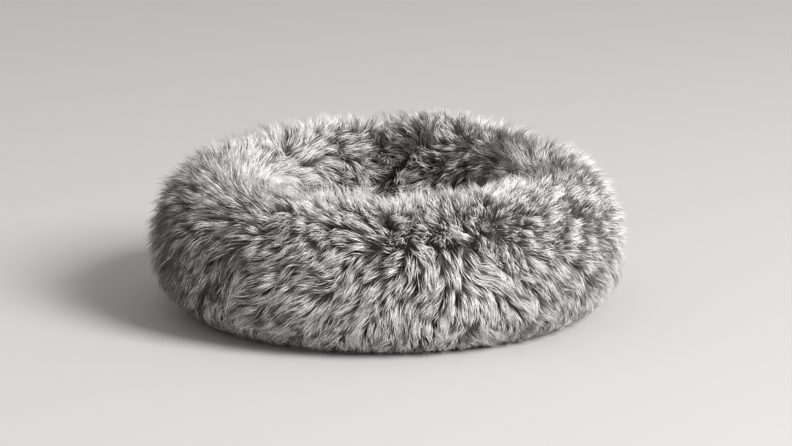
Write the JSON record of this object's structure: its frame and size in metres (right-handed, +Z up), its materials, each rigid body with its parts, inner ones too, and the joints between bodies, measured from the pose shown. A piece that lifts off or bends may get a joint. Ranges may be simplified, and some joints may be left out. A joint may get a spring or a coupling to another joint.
{
  "type": "pet cushion bed",
  "caption": "Round ring-shaped pet bed in long grey faux fur, a stuffed bolster around a padded nest, on a quilted base with a straight zip.",
  "frame": {"origin": "middle of the face that the bed stands on", "axes": "+Z up, -Y the bed's front, +X to the right along the zip, towards its closed end"},
  "size_m": [0.6, 0.6, 0.2013],
  "materials": {
    "faux_fur": "matte",
    "casing_cloth": "matte",
    "fibre": "matte",
    "base_cloth": "matte",
    "zip_tape": "matte",
    "zip_coil": "satin",
    "nickel": "satin",
    "label_cloth": "satin"
  },
  "bodies": {
    "bed": {"fur_ring_left": "faux_fur", "fur_ring_right": "faux_fur", "nest_fur_panel": "faux_fur", "bolster_casing": "casing_cloth", "bolster_fill": "fibre", "cushion_casing": "casing_cloth", "cushion_fill": "fibre", "base_panel_front": "base_cloth", "base_panel_back": "base_cloth", "zip_tape_front": "zip_tape", "zip_tape_back": "zip_tape", "zip_coil_front": "zip_coil", "zip_coil_back": "zip_coil", "zip_top_stop_front": "nickel", "zip_top_stop_back": "nickel", "zip_bottom_stop": "nickel", "care_label": "label_cloth"},
    "slider": {"zip_slider": "nickel"},
    "pull": {"zip_pull": "nickel"}
  },
  "joints": [
    {"name": "zip_travel", "type": "slide", "parent": "bed", "child": "slider", "axis": [-1, 0, 0], "range_m": [0, 0.3898]},
    {"name": "pull_swing", "type": "hinge", "parent": "slider", "child": "pull", "pos_m": [0.19495, 0, 0.0019], "axis": [0, -1, 0], "range_deg": [0, 150]}
  ]
}
